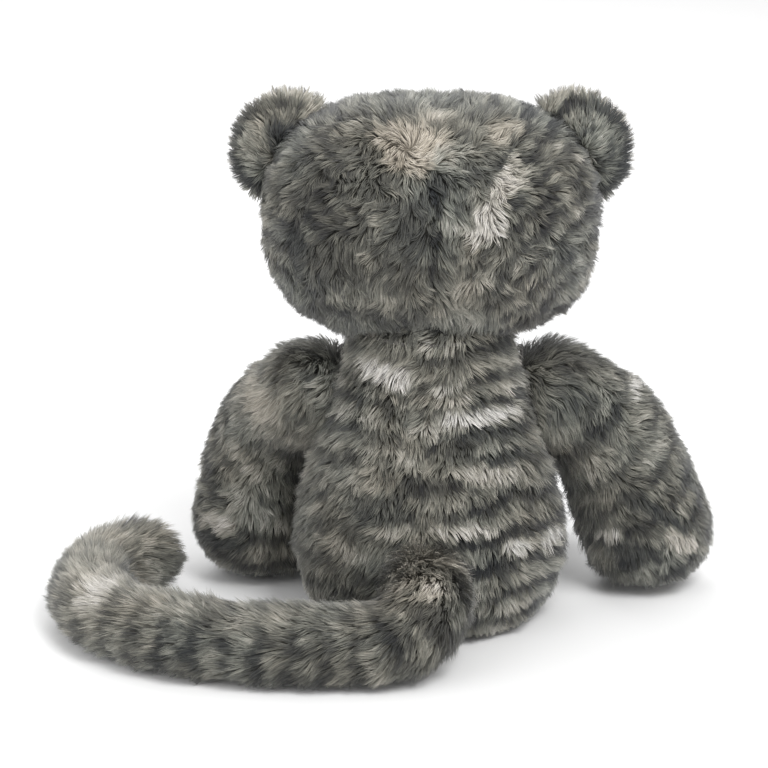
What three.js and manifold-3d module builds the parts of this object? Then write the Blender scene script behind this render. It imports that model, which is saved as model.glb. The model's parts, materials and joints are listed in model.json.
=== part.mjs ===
// Sitting plush cat. Millimetres, +Z up, the face towards -Y, the cat's left side towards +X.
// The origin is the centre of the flat seat, on the surface that the toy sits on.
// Each joint's ring is the angle, in radians off the limb's axis, at which its thread is gathered.
//
// Every soft part is a fabric cover (an open shell) with its own filling inside. A limb meets the body as a
// round end in a round socket, and the thread that gathers and joins the two lies in the gap between them.

import * as THREE from "three";
import { mergeVertices } from "three/addons/utils/BufferGeometryUtils.js";
import Module from "manifold-3d";

const wasm = await Module();
wasm.setup();

// ---------------------------------------------------------------- driving dimensions

const COVER = 4.0; // pile fabric: backing cloth and the dense lower half of its pile
const GAP = 0.5; // clearance between pieces that touch in the real toy
const THREAD = 0.8; // radius of a gathering thread
const SEAM_ROOM = 3.2; // between a round end and its socket, with the thread in it
const SEAT = 0; // height of the flat undersides
const OPENING = 5; // radius of the hole that a limb's cover is filled through
const FACETS = { rod: 12, ball: 14, bigBall: 20, bigRadius: 25 }; // round a rod, a ball and a big ball

const HEAD = { centre: [0, -4, 173], half: [67.5, 48, 48.5], squareness: 2.8 };
const NECK = { pivot: [0, 0, 116], radius: 31, ring: 1.2 };
const BODY = { widest: 54, depth: 45.5, back: 3 };
const SHOULDER = { y: -8, z: 97, radius: 19, ring: 0.8 };
const HAND_RADIUS = 26.5;
const HIP = { x: 27, y: -36, z: 24, radius: 18, ring: 0.95 };
const LEG = { kneeRadius: 20, footRadius: 22, knee: [29, -60, 22], foot: [31, -88, 21.5] };
const TAIL = { radius: 14.2, tipRadius: 13.2, ring: 0.8 };
const EAR = { centre: [57, -6, 199], radius: 23, thickness: 4.5, lean: 42.5, cup: 110, clearance: 2 };
const EYE = { direction: [0.37, -0.92, 0.06], radius: 6, height: 4.2, shank: 1.8, depth: 9 };
const WASHER = { radius: 6, bore: 2.3, thickness: 1.5 };
const NOSE = { direction: [0, -1, -0.17], width: 12, height: 8, thickness: 2.4 };
const POUCH = { centre: [0, 18, 15.5], half: [25, 13, 10.5], cloth: 1 };

const UP = new THREE.Vector3(0, 0, 1);
const BACK = new THREE.Vector3(0, 1, 0);

// A hand and its elbow, one side raised further out than the other.
const SIDES = [
  { name: "left", sign: 1, shoulder: 47.5, elbowRadius: 20, elbow: [68.8, -35, 72], hand: [75.3, -39, 26] },
  { name: "right", sign: -1, shoulder: 49, elbowRadius: 23.2, elbow: [-75, -17.5, 76], hand: [-96, -27, 26] },
];

const TAIL_ROOT = [3, 48, 31];
const TAIL_PATH = [
  TAIL_ROOT,
  [1, 61, 29.5],
  [5, 71, 24],
  [16, 75.5, 17],
  [33, 76, 14],
  [64, 74.5, 13.9],
  [92, 69, 13.8],
  [114, 59, 13.7],
  [132, 44, 13.6],
  [141.5, 27, 13.6],
  [143, 9, 14],
  [137, -7, 15],
  [124, -15, 16],
];

// The tail is one cover and one filling in the real toy. It bends anywhere, and here at two places.
const TAIL_LENGTHS = [
  { name: "tail_root", from: 0, to: 0.36 },
  { name: "tail_middle", from: 0.36, to: 0.66 },
  { name: "tail_tip", from: 0.66, to: 1 },
];

const LOOKS = {
  pile: { color: 0x77756f, roughness: 0.95 },
  lining: { color: 0xa8a49b, roughness: 0.95 },
  filling: { color: 0xf2f0ea, roughness: 1.0 },
  pouch: { color: 0xe6e2d8, roughness: 0.9 },
  pellets: { color: 0xdfe3e6, roughness: 0.5 },
  thread: { color: 0x55534f, roughness: 0.8 },
  face_thread: { color: 0x2b2727, roughness: 0.6 },
  nose: { color: 0x8f6f6c, roughness: 0.7 },
  eye: { color: 0x0c0c0e, roughness: 0.08 },
  washer: { color: 0xe8e8e8, roughness: 0.5 },
};

// ---------------------------------------------------------------- solids

/** A closed three.js geometry as a solid that can be joined and cut. */
function solid(geometry) {
  const bare = geometry.clone();
  bare.deleteAttribute("normal");
  bare.deleteAttribute("uv");
  const merged = mergeVertices(bare, 1e-4);
  return new wasm.Manifold(
    new wasm.Mesh({
      numProp: 3,
      vertProperties: new Float32Array(merged.attributes.position.array),
      triVerts: new Uint32Array(merged.index.array),
    }),
  );
}

/** A solid back as a three.js geometry. */
function geometryOf(body) {
  const mesh = body.getMesh();
  const geometry = new THREE.BufferGeometry();
  geometry.setAttribute("position", new THREE.BufferAttribute(new Float32Array(mesh.vertProperties), 3));
  geometry.setIndex(new THREE.BufferAttribute(new Uint32Array(mesh.triVerts), 1));
  return geometry;
}

/** A sphere whose points are moved by place(direction, share), where share runs 0 to 1 from its top pole. */
function roundForm(around, along, place) {
  const sphere = new THREE.SphereGeometry(1, around, along).rotateX(Math.PI / 2);
  sphere.deleteAttribute("normal");
  sphere.deleteAttribute("uv");
  const form = mergeVertices(sphere, 1e-4);
  const points = form.attributes.position;
  const direction = new THREE.Vector3();
  for (let i = 0; i < points.count; i += 1) {
    direction.fromBufferAttribute(points, i).normalize();
    const share = Math.acos(THREE.MathUtils.clamp(direction.z, -1, 1)) / Math.PI;
    const placed = place(direction, share);
    points.setXYZ(i, placed.x, placed.y, placed.z);
  }
  form.computeVertexNormals();
  return form;
}

/** The same form with its surface moved in by a depth, or out by a negative one. */
function inset(form, depth) {
  const inner = form.clone();
  const points = inner.attributes.position;
  const normals = form.attributes.normal;
  const point = new THREE.Vector3();
  const normal = new THREE.Vector3();
  for (let i = 0; i < points.count; i += 1) {
    point.fromBufferAttribute(points, i).addScaledVector(normal.fromBufferAttribute(normals, i), -depth);
    points.setXYZ(i, point.x, point.y, point.z);
  }
  return inner;
}

function ball([x, y, z], radius) {
  const detail = radius > FACETS.bigRadius ? FACETS.bigBall : FACETS.ball;
  return solid(new THREE.SphereGeometry(radius, detail, detail / 2 + 1).translate(x, y, z));
}

/** Turns a geometry's own +Y axis to a direction and moves its origin to a point. */
function stood(geometry, direction, point) {
  const turn = new THREE.Quaternion().setFromUnitVectors(BACK, direction);
  return geometry.applyQuaternion(turn).translate(point.x, point.y, point.z);
}

/** A round rod along a direction, from one distance to another from a point. */
function rod(point, direction, from, to, radius) {
  const cylinder = new THREE.CylinderGeometry(radius, radius, to - from, FACETS.rod);
  return solid(stood(cylinder.translate(0, (from + to) / 2, 0), direction, point));
}

/** Everything below a height. */
function slabBelow(height) {
  const size = 600;
  return solid(new THREE.BoxGeometry(size, size, size).translate(0, 0, height - size / 2));
}

function curveThrough(points) {
  return new THREE.CatmullRomCurve3(points.map((p) => new THREE.Vector3(...p)), false, "centripetal");
}

/** A thread of round section along a curve. */
function threadAlong(curve, radius, steps) {
  const section = new THREE.Shape().absarc(0, 0, radius, 0, 2 * Math.PI);
  return solid(new THREE.ExtrudeGeometry(section, { extrudePath: curve, steps, curveSegments: 3 }));
}

/** A gathered thread: a ring on the sphere round a pivot, at an angle off the axis it faces along. */
function threadRing(pivot, limbRadius, axis, angle) {
  const distance = limbRadius + SEAM_ROOM / 2;
  const ring = new THREE.TorusGeometry(distance * Math.sin(angle), THREAD, 5, 16);
  ring.rotateX(-Math.PI / 2).translate(0, distance * Math.cos(angle), 0);
  return stood(ring, new THREE.Vector3(...axis).normalize(), new THREE.Vector3(...pivot));
}

// ---------------------------------------------------------------- the toy

const cat = new THREE.Group();

function add(name, look, shape) {
  const geometry = shape instanceof THREE.BufferGeometry ? shape : geometryOf(shape);
  const mesh = new THREE.Mesh(geometry, new THREE.MeshStandardMaterial({ ...LOOKS[look], metalness: 0 }));
  mesh.name = name;
  cat.add(mesh);
}

/**
 * A cover's shell and its filling, both cut flat where they rest, with a round socket for each limb.
 * A socket is also the opening that the cover is filled through.
 */
function coverAndFilling(form, { flat = false, sockets = [] } = {}) {
  let outer = solid(form);
  let cavity = solid(inset(form, COVER));
  let filling = solid(inset(form, COVER + GAP));
  if (flat) {
    outer = outer.subtract(slabBelow(SEAT));
    cavity = cavity.subtract(slabBelow(SEAT + COVER));
    filling = filling.subtract(slabBelow(SEAT + COVER + GAP));
  }
  let cover = outer.subtract(cavity);
  for (const { pivot, radius } of sockets) {
    cover = cover.subtract(ball(pivot, radius));
    filling = filling.subtract(ball(pivot, radius + GAP));
  }
  return { cover, filling };
}

/**
 * A limb: spheres swept along a curve, round at both ends, with a radius that changes along it.
 * The reference is a direction that the curve never runs along.
 */
function limbForm(curve, radiusAt, reference, around, along) {
  const length = curve.getLength();
  const first = radiusAt(0);
  const last = radiusAt(1);
  return roundForm(around, along, (direction, share) => {
    const distance = share * (first + length + last) - first;
    const t = THREE.MathUtils.clamp(distance / length, 0, 1);
    const beyond = Math.min(distance, 0) + Math.max(distance - length, 0);
    const radius = Math.sqrt(Math.max(0, radiusAt(t) ** 2 - beyond ** 2));
    const tangent = curve.getTangentAt(t);
    const across = new THREE.Vector3().crossVectors(tangent, reference).normalize();
    const upward = new THREE.Vector3().crossVectors(across, tangent);
    const flat = Math.hypot(direction.x, direction.y) || 1;
    return curve
      .getPointAt(t)
      .addScaledVector(tangent, beyond)
      .addScaledVector(across, (radius * direction.x) / flat)
      .addScaledVector(upward, (radius * direction.y) / flat);
  });
}

/** Arms and legs: a radius at the joint, one at the bend and one at the end. */
function threeRadii(joint, bend, end) {
  return (t) => {
    const upper = THREE.MathUtils.lerp(joint, bend, THREE.MathUtils.smoothstep(t, 0, 0.5));
    return THREE.MathUtils.lerp(upper, end, THREE.MathUtils.smoothstep(t, 0.4, 1));
  };
}

function addLimb(name, curve, radiusAt, reference) {
  const form = limbForm(curve, radiusAt, reference, 12, 11);
  const { cover, filling } = coverAndFilling(form, { flat: true });
  const backwards = curve.getTangentAt(0).negate();
  add(`${name}_cover`, "pile", cover.subtract(rod(curve.getPointAt(0), backwards, 0, 2 * radiusAt(0), OPENING)));
  add(`${name}_filling`, "filling", filling);
}

// ---------------------------------------------------------------- head

/** Head: wide and rounded, squarer than an ellipsoid from the front, with a low muzzle. */
function headPoint(direction) {
  const flat = Math.hypot(direction.x, direction.z) || 1;
  const power = HEAD.squareness;
  const reach = (Math.abs(direction.x) ** power + Math.abs(direction.z) ** power) ** (1 / power) || 1;
  const fuller = THREE.MathUtils.lerp(1, flat / reach, Math.min(1, flat));
  const muzzle = Math.max(0, -direction.y) ** 10 * Math.exp(-(((direction.z + 0.22) / 0.42) ** 2));
  return new THREE.Vector3(direction.x * fuller, direction.y * (1 + 0.2 * muzzle), direction.z * fuller)
    .multiply(new THREE.Vector3(...HEAD.half))
    .add(new THREE.Vector3(...HEAD.centre));
}

/** The point of the head's surface in a direction from its centre, and the outward normal there. */
function onHead([x, y, z]) {
  const step = 0.02;
  const direction = new THREE.Vector3(x, y, z).normalize();
  const point = headPoint(direction);
  const sideways = headPoint(direction.clone().add(new THREE.Vector3(step, 0, 0)).normalize()).sub(point);
  const upward = headPoint(direction.clone().add(new THREE.Vector3(0, 0, step)).normalize()).sub(point);
  return { point, normal: sideways.cross(upward).normalize() };
}

const headForm = roundForm(20, 13, headPoint);
const neckSocket = { pivot: NECK.pivot, radius: NECK.radius + SEAM_ROOM };
const head = coverAndFilling(headForm, { sockets: [neckSocket] });

/** A safety eye: a domed face with a shank, its lock washer, and the holes that they need. */
function addEye(side) {
  const [x, y, z] = EYE.direction;
  const { point, normal } = onHead([side.sign * x, y, z]);
  const dome = new THREE.Path().absellipse(0, 0, EYE.radius, EYE.height, Math.PI / 2, 0, true);
  const profile = dome
    .getPoints(4)
    .map((p) => new THREE.Vector2(Math.max(0, p.x), p.y + GAP))
    .reverse();
  const shank = [
    new THREE.Vector2(0, -EYE.depth),
    new THREE.Vector2(EYE.shank, -EYE.depth),
    new THREE.Vector2(EYE.shank, GAP),
  ];
  profile[profile.length - 1].x = 0;
  add(`${side.name}_eye`, "eye", solid(stood(new THREE.LatheGeometry([...shank, ...profile], 12), normal, point)));

  const top = -(COVER + 4 * GAP);
  const disc = rod(point, normal, top - WASHER.thickness, top, WASHER.radius);
  add(`${side.name}_eye_washer`, "washer", disc.subtract(rod(point, normal, -EYE.depth, 0, WASHER.bore)));

  head.cover = head.cover.subtract(rod(point, normal, -2 * COVER, COVER, WASHER.bore));
  head.filling = head.filling.subtract(rod(point, normal, -EYE.depth - 1, COVER, WASHER.radius + 1));
}

/** A padded nose: a rounded triangle, broad side up. */
function addNose() {
  const { point, normal } = onHead(NOSE.direction);
  const half = NOSE.width / 2;
  const outline = new THREE.Shape();
  outline.moveTo(0, -NOSE.height * 0.5);
  outline.quadraticCurveTo(-half, -NOSE.height * 0.1, -half, NOSE.height * 0.2);
  outline.quadraticCurveTo(-half, NOSE.height * 0.5, 0, NOSE.height * 0.4);
  outline.quadraticCurveTo(half, NOSE.height * 0.5, half, NOSE.height * 0.2);
  outline.quadraticCurveTo(half, -NOSE.height * 0.1, 0, -NOSE.height * 0.5);
  const pad = new THREE.ExtrudeGeometry(outline, {
    depth: NOSE.thickness,
    bevelEnabled: false,
    curveSegments: 5,
  });
  pad.rotateX(-Math.PI / 2).translate(0, 2 * GAP, 0);
  add("nose", "nose", solid(stood(pad, normal, point)));
}

/** A stitched mouth: a short line down from the nose that parts into two curves. */
function addMouth() {
  const radius = 0.7;
  const stitched = (directions) =>
    curveThrough(
      directions.map((direction) => {
        const { point, normal } = onHead(direction);
        return point.addScaledVector(normal, radius + GAP).toArray();
      }),
    );
  const smile = stitched([
    [-0.17, -1, -0.36],
    [-0.11, -1, -0.41],
    [-0.04, -1, -0.4],
    [0, -1, -0.35],
    [0.04, -1, -0.4],
    [0.11, -1, -0.41],
    [0.17, -1, -0.36],
  ]);
  const line = stitched([
    [0, -1, -0.36],
    [0, -1, -0.31],
    [0, -1, -0.27],
  ]);
  add("mouth_stitch", "face_thread", threadAlong(smile, radius, 12).add(threadAlong(line, radius, 2)));
}

/** An ear: a round cupped lobe of two layers, back and lining, cut to follow the head. */
function addEar(side) {
  const lean = THREE.MathUtils.degToRad(EAR.lean) * side.sign;
  const headRoom = solid(inset(headForm, -EAR.clearance));
  const layer = (facing) =>
    roundForm(14, 8, (direction) => {
      const wide = direction.x * EAR.radius;
      const high = direction.z * EAR.radius;
      const thick = Math.max(0, facing * direction.y) * EAR.thickness + GAP / 2;
      const cup = -(wide ** 2 + high ** 2) / EAR.cup;
      return new THREE.Vector3(wide, facing * thick + cup, high).applyAxisAngle(BACK, lean);
    }).translate(side.sign * EAR.centre[0], EAR.centre[1], EAR.centre[2]);
  add(`${side.name}_ear_back`, "pile", solid(layer(1)).subtract(headRoom));
  add(`${side.name}_ear_lining`, "lining", solid(layer(-1)).subtract(headRoom));
}

for (const side of SIDES) {
  addEye(side);
  addEar(side);
}
addNose();
addMouth();
add("head_cover", "pile", head.cover);
add("head_filling", "filling", head.filling);
add("neck_thread", "thread", threadRing(NECK.pivot, NECK.radius, [0, 0, 1], NECK.ring));

// ---------------------------------------------------------------- body

// Body: an egg, broad at the seat, from under the seat up to the neck.
const bodySide = new THREE.CatmullRomCurve3(
  [
    [0, -3],
    [30, -3],
    [45, 2],
    [52.5, 16],
    [BODY.widest, 38],
    [48, 66],
    [38.5, 90],
    [33, 106],
  ].map(([radius, height]) => new THREE.Vector3(radius, 0, height)),
  false,
  "centripetal",
);

function bodyPoint(direction, share) {
  const neckShare = 0.3;
  const side = bodySide.getPointAt(THREE.MathUtils.clamp((1 - share) / (1 - neckShare), 0, 1));
  if (share < neckShare) {
    const angle = ((share / neckShare) * Math.PI) / 2;
    side.set(NECK.radius * Math.sin(angle), 0, NECK.pivot[2] + NECK.radius * Math.cos(angle));
  }
  const flat = Math.hypot(direction.x, direction.y) || 1;
  const slim = THREE.MathUtils.lerp(BODY.depth / BODY.widest, 1, THREE.MathUtils.smoothstep(side.z, 60, 110));
  const back = BODY.back * (1 - THREE.MathUtils.smoothstep(side.z, 60, 110));
  return new THREE.Vector3((direction.x / flat) * side.x, (direction.y / flat) * side.x * slim + back, side.z);
}

function shoulderPivot(side) {
  return [side.sign * side.shoulder, SHOULDER.y, SHOULDER.z];
}

function hipPivot(side) {
  return [side.sign * HIP.x, HIP.y, HIP.z];
}

const bodySockets = [{ pivot: TAIL_ROOT, radius: TAIL.radius + SEAM_ROOM }];
for (const side of SIDES) {
  bodySockets.push({ pivot: shoulderPivot(side), radius: SHOULDER.radius + SEAM_ROOM });
  bodySockets.push({ pivot: hipPivot(side), radius: HIP.radius + SEAM_ROOM });
}
const body = coverAndFilling(roundForm(18, 15, bodyPoint), { flat: true, sockets: bodySockets });

/** The pellet pouch in the seat, tied shut at its top, and the room for it in the filling. */
function addPouch() {
  const pouchForm = roundForm(12, 8, (direction) =>
    direction.clone().multiply(new THREE.Vector3(...POUCH.half)).add(new THREE.Vector3(...POUCH.centre)),
  );
  const centre = new THREE.Vector3(...POUCH.centre);
  const mouth = rod(centre, UP, 0, 2 * POUCH.half[2], 3);
  add("seat_pouch", "pouch", solid(pouchForm).subtract(solid(inset(pouchForm, POUCH.cloth))).subtract(mouth));
  add("seat_pellets", "pellets", solid(inset(pouchForm, POUCH.cloth + GAP)));

  const below = new THREE.CylinderGeometry(1, 1, 1, 14)
    .rotateX(Math.PI / 2)
    .scale(POUCH.half[0] + GAP, POUCH.half[1] + GAP, POUCH.centre[2])
    .translate(POUCH.centre[0], POUCH.centre[1], POUCH.centre[2] / 2);
  body.filling = body.filling.subtract(solid(inset(pouchForm, -GAP))).subtract(solid(below));
}

addPouch();
add("body_cover", "pile", body.cover);
add("body_filling", "filling", body.filling);

// ---------------------------------------------------------------- arms, legs and tail

for (const side of SIDES) {
  const shoulder = shoulderPivot(side);
  const armRadii = threeRadii(SHOULDER.radius, side.elbowRadius, HAND_RADIUS);
  addLimb(`${side.name}_arm`, curveThrough([shoulder, side.elbow, side.hand]), armRadii, BACK);
  const inwards = [-side.sign, 0, 0.25];
  add(`${side.name}_shoulder_thread`, "thread", threadRing(shoulder, SHOULDER.radius, inwards, SHOULDER.ring));

  const hip = hipPivot(side);
  const [knee, foot] = [LEG.knee, LEG.foot].map(([x, y, z]) => [side.sign * x, y, z]);
  const legRadii = threeRadii(HIP.radius, LEG.kneeRadius, LEG.footRadius);
  addLimb(`${side.name}_leg`, curveThrough([hip, knee, foot]), legRadii, UP);
  add(`${side.name}_hip_thread`, "thread", threadRing(hip, HIP.radius, [0, 1, -0.3], HIP.ring));
}

const tailCurve = curveThrough(TAIL_PATH);

function tailRadius(share) {
  return THREE.MathUtils.lerp(TAIL.radius, TAIL.tipRadius, share);
}

/** One length of the tail, with a round end towards the body and a socket for the next length. */
function addTailLength(index) {
  const { name, from, to } = TAIL_LENGTHS[index];
  const shareAt = (t) => THREE.MathUtils.lerp(from, to, t);
  const steps = 8;
  const points = [];
  for (let i = 0; i <= steps; i += 1) {
    points.push(tailCurve.getPointAt(shareAt(i / steps)).toArray());
  }
  const form = limbForm(curveThrough(points), (t) => tailRadius(shareAt(t)), UP, 10, 11);
  const next = TAIL_LENGTHS[index + 1];
  const end = { pivot: points[steps], radius: tailRadius(to) + 1.2 * GAP };
  const { cover, filling } = coverAndFilling(form, { sockets: next ? [end] : [] });
  const backwards = tailCurve.getTangentAt(from).negate();
  const filledThrough = rod(tailCurve.getPointAt(from), backwards, 0, 2 * TAIL.radius, OPENING);
  add(`${name}_cover`, "pile", cover.subtract(filledThrough));
  add(`${name}_filling`, "filling", filling);
}

for (const index of TAIL_LENGTHS.keys()) {
  addTailLength(index);
}
add("tail_thread", "thread", threadRing(TAIL_ROOT, TAIL.radius, [0, -1, 0], TAIL.ring));

export default cat;
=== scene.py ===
"""Looks of the sitting plush cat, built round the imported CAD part.

The toy sits on z = 0 with its face towards -Y and its own left side towards +X. Each stuffed part is a
simulated cloth skin with a coat of pile on it. A strand of pile is a thin ribbon that leaves the skin and
bends over. Its colour comes from three values stored on it: tone (0 black to 1 white), warmth (0 grey to 1
cream) and along (0 at the root to 1 at the tip). A fourth, the vector lie, is the normal it is lit by.

The coat of each part is a dict of functions of points and skin normals: flow (which way the strands lie),
length (a share of PILE), shade (tone and warmth) and, on the head, bare (where none grow). Some have a
density, lifts or curl of their own.
"""

import itertools
import json
import math

import bmesh
import bpy
import numpy as np
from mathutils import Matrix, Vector
from mathutils.bvhtree import BVHTree
from mathutils.kdtree import KDTree


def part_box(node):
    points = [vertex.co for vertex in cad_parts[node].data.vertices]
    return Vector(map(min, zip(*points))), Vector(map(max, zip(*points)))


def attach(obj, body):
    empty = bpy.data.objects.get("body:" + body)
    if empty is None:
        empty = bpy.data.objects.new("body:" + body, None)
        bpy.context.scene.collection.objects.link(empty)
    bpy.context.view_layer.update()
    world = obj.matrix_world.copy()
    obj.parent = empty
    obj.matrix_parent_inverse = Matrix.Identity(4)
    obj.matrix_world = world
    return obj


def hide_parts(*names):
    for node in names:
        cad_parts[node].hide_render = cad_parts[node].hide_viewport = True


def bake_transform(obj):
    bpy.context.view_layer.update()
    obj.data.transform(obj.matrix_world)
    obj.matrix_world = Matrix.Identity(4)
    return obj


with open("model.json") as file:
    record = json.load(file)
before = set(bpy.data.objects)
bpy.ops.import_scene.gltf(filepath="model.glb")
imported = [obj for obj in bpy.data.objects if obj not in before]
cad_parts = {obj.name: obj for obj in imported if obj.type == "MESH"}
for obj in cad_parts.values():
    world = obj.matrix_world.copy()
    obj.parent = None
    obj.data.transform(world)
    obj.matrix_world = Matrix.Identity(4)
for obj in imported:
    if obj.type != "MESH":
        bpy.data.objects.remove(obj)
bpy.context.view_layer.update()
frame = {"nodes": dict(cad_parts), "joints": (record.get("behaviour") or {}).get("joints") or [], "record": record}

MM = 0.001
NODES = frame["nodes"]
JOINTS = {joint["name"]: joint for joint in frame["joints"]}
SIDES = (("left", 1), ("right", -1))
UP = np.array([0.0, 0.0, 1.0])

# ---------------------------------------------------------------- sizes

COVER = 4.0 * MM  # thickness of the covers in the CAD part
COVER_GAP = 0.5 * MM  # between a cover and its filling, in the CAD part
PROUD = 1.2 * MM  # how far a finished skin stands out from its cover
SWELL = 1.5 * MM  # how far the stuffing pushes the cloth out
STUFFING_PRESSURE = 4.0
STUFFING_FRAMES = 20
SKIN_VOXEL = 5 * MM

PILE = 7.5 * MM  # length of a strand
STRAND_WIDTH = 0.3 * MM
STRANDS = 3.0e6  # on a square metre of skin
CLUMP = 11  # strands that lean together into one tuft
GATHER = 0.6  # how closely they do
LIFTS = (62, 14)  # degrees that a strand stands off the skin, in its lower and its upper half
WANDER = ((0.6, 22 * MM), (1.0, 5 * MM))  # radians that the lie turns by, over lumps of a size
RUFFLE, RUFFLE_SIZE = 20, 6 * MM  # degrees that the lifts change by, over lumps of a size
TUFT_TONE, STRAND_TONE, STRAND_WARMTH = 0.06, 0.06, 0.08  # chance differences in colour
HIDDEN_DEPTH = 5 * MM  # no strands grow deeper than this inside a neighbour's skin
FLOOR_ROOM = 0.3 * MM  # the lowest strands lie this far above the floor

# The tail's centre line, root to tip, and its radius at both ends.
TAIL_PATH = np.array(
    [
        [3, 48, 31],
        [1, 61, 29.5],
        [5, 71, 24],
        [16, 75.5, 17],
        [33, 76, 14],
        [64, 74.5, 13.9],
        [92, 69, 13.8],
        [114, 59, 13.7],
        [132, 44, 13.6],
        [141.5, 27, 13.6],
        [143, 9, 14],
        [137, -7, 15],
        [124, -15, 16],
    ]
) * MM
TAIL_RADII = (14.2 * MM, 13.2 * MM)


def centre_of(node):
    low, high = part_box(node)
    return (np.array(low) + np.array(high)) / 2


HEAD_CENTRE = centre_of("head_cover")
PIVOT = {name: np.array(joint["pos_m"]) for name, joint in JOINTS.items()}

# ---------------------------------------------------------------- noise and vectors


def unit(vectors):
    return vectors / np.maximum(np.linalg.norm(vectors, axis=-1, keepdims=True), 1e-12)


def dot(a, b):
    return np.sum(a * b, axis=-1, keepdims=True)


def smooth(low, high, value):
    """0 below low, 1 above high, and a smooth step between."""
    t = np.clip((value - low) / (high - low), 0, 1)
    return t * t * (3 - 2 * t)


def lattice(cells, seed):
    """A repeatable number from 0 to 1 for each whole-numbered cell."""
    mixed = cells[:, 0] * 73856093 ^ cells[:, 1] * 19349663 ^ cells[:, 2] * 83492791 ^ seed * 7919
    mixed = (mixed ^ (mixed >> 13)) * 1274126177 & 0x7FFFFFFF
    return ((mixed ^ (mixed >> 11)) & 0xFFFF) / 0xFFFF


def noise(points, size, seed):
    """Smooth noise from -1 to 1 at each point, with lumps of a size."""
    cells = points / size
    base = np.floor(cells).astype(np.int64)
    share = cells - base
    share = share * share * (3 - 2 * share)
    total = np.zeros(len(points))
    for corner in itertools.product((0, 1), repeat=3):
        weight = np.prod(np.where(corner, share, 1 - share), axis=1)
        total += weight * lattice(base + np.array(corner), seed)
    return 2 * total - 1


def rough_noise(points, size, seed):
    """Noise with a finer, weaker layer on it."""
    return (noise(points, size, seed) + 0.5 * noise(points, size / 2.3, seed + 17)) / 1.2


def turned(vectors, axes, angles):
    """Each vector turned about its axis, which it stands square to."""
    cos, sin = np.cos(angles)[:, None], np.sin(angles)[:, None]
    return vectors * cos + np.cross(axes, vectors) * sin


# ---------------------------------------------------------------- materials


def colour(red, green, blue):
    """A linear colour from the 0 to 255 values seen on a screen."""
    return tuple(((c / 255 + 0.055) / 1.055) ** 2.4 for c in (red, green, blue)) + (1.0,)


class Shader:
    """A node material with one Principled shader, put together by short calls."""

    def __init__(self, name, roughness, **sockets):
        self.material = bpy.data.materials.new(name)
        self.material.use_nodes = True
        self.nodes = self.material.node_tree.nodes
        self.links = self.material.node_tree.links
        self.surface = self.nodes["Principled BSDF"]
        self.surface.inputs["Roughness"].default_value = roughness
        for socket, value in sockets.items():
            self.surface.inputs[socket.replace("_", " ")].default_value = value

    def node(self, kind, settings=None, **inputs):
        made = self.nodes.new(kind)
        for key, value in (settings or {}).items():
            setattr(made, key, value)
        for key, value in inputs.items():
            self.put(made.inputs[key.replace("_", " ")], value)
        return made

    def put(self, socket, value):
        if isinstance(value, bpy.types.NodeSocket):
            self.links.new(value, socket)
        else:
            socket.default_value = value

    def place(self):
        return self.node("ShaderNodeTexCoord").outputs["Object"]

    def noise(self, scale, detail=2.0, vector=None):
        made = self.node("ShaderNodeTexNoise", Vector=vector or self.place(), Scale=scale, Detail=detail)
        return made.outputs["Fac"]

    def stored(self, name, output="Fac"):
        return self.node("ShaderNodeAttribute", {"attribute_name": name}).outputs[output]

    def maths(self, operation, a, b=0.0, clamp=False):
        made = self.node("ShaderNodeMath", {"operation": operation, "use_clamp": clamp})
        self.put(made.inputs[0], a)
        self.put(made.inputs[1], b)
        return made.outputs["Value"]

    def ramp(self, value, stops):
        made = self.node("ShaderNodeValToRGB", Fac=value)
        elements = made.color_ramp.elements
        while len(elements) < len(stops):
            elements.new(0.5)
        for element, (position, tint) in zip(elements, stops):
            element.position = position
            element.color = tint
        return made.outputs["Color"]

    def mixed(self, share, a, b, blend="MIX"):
        made = self.node("ShaderNodeMix", {"data_type": "RGBA", "blend_type": blend})
        self.put(made.inputs["Factor"], share)
        self.put(made.inputs[6], a)
        self.put(made.inputs[7], b)
        return made.outputs[2]

    def painted(self, value):
        self.put(self.surface.inputs["Base Color"], value)
        return self

    def bumped(self, height, strength, distance):
        made = self.node("ShaderNodeBump", Strength=strength, Distance=distance, Height=height)
        self.links.new(made.outputs["Normal"], self.surface.inputs["Normal"])
        return self


GREYS = [
    (0.0, colour(44, 47, 50)),
    (0.28, colour(90, 92, 89)),
    (0.5, colour(144, 146, 137)),
    (0.74, colour(196, 194, 186)),
    (1.0, colour(248, 246, 243)),
]
CREAMS = [
    (0.0, colour(62, 58, 54)),
    (0.35, colour(120, 115, 103)),
    (0.6, colour(182, 172, 156)),
    (1.0, colour(240, 230, 216)),
]


def pile_colour(shader):
    """The colour that the stored tone and warmth stand for, with a fine mottle that follows no strand."""
    mottle = shader.maths("SUBTRACT", shader.noise(420.0), 0.5)
    tone = shader.maths("ADD", shader.stored("tone"), shader.maths("MULTIPLY", mottle, 0.22), clamp=True)
    return shader.mixed(shader.stored("warmth"), shader.ramp(tone, GREYS), shader.ramp(tone, CREAMS))


def strand_material():
    """Pile: painted shade darkens each strand towards its root, down in the coat, so it is paler and a little
    sheer at the tips.
    """
    shader = Shader("pile", 0.62, Specular_IOR_Level=0.25, Sheen_Weight=0.25, Sheen_Roughness=0.5)
    # Painted shade: the colour falls to about a third at the root, where the coat shades itself.
    depth = shader.ramp(
        shader.stored("along"),
        [(0.0, (0.34, 0.33, 0.32, 1)), (0.4, (0.78, 0.78, 0.77, 1)), (1.0, (1, 1, 1, 1))],
    )
    # A ribbon takes the light as the coat round it does, whichever of its two sides is seen.
    turning = {"vector_type": "NORMAL", "convert_from": "OBJECT", "convert_to": "WORLD"}
    lie = shader.node("ShaderNodeVectorTransform", turning, Vector=shader.stored("lie", "Vector"))
    shader.put(shader.surface.inputs["Normal"], lie.outputs["Vector"])
    return shader.painted(shader.mixed(1.0, pile_colour(shader), depth, "MULTIPLY")).material


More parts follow.
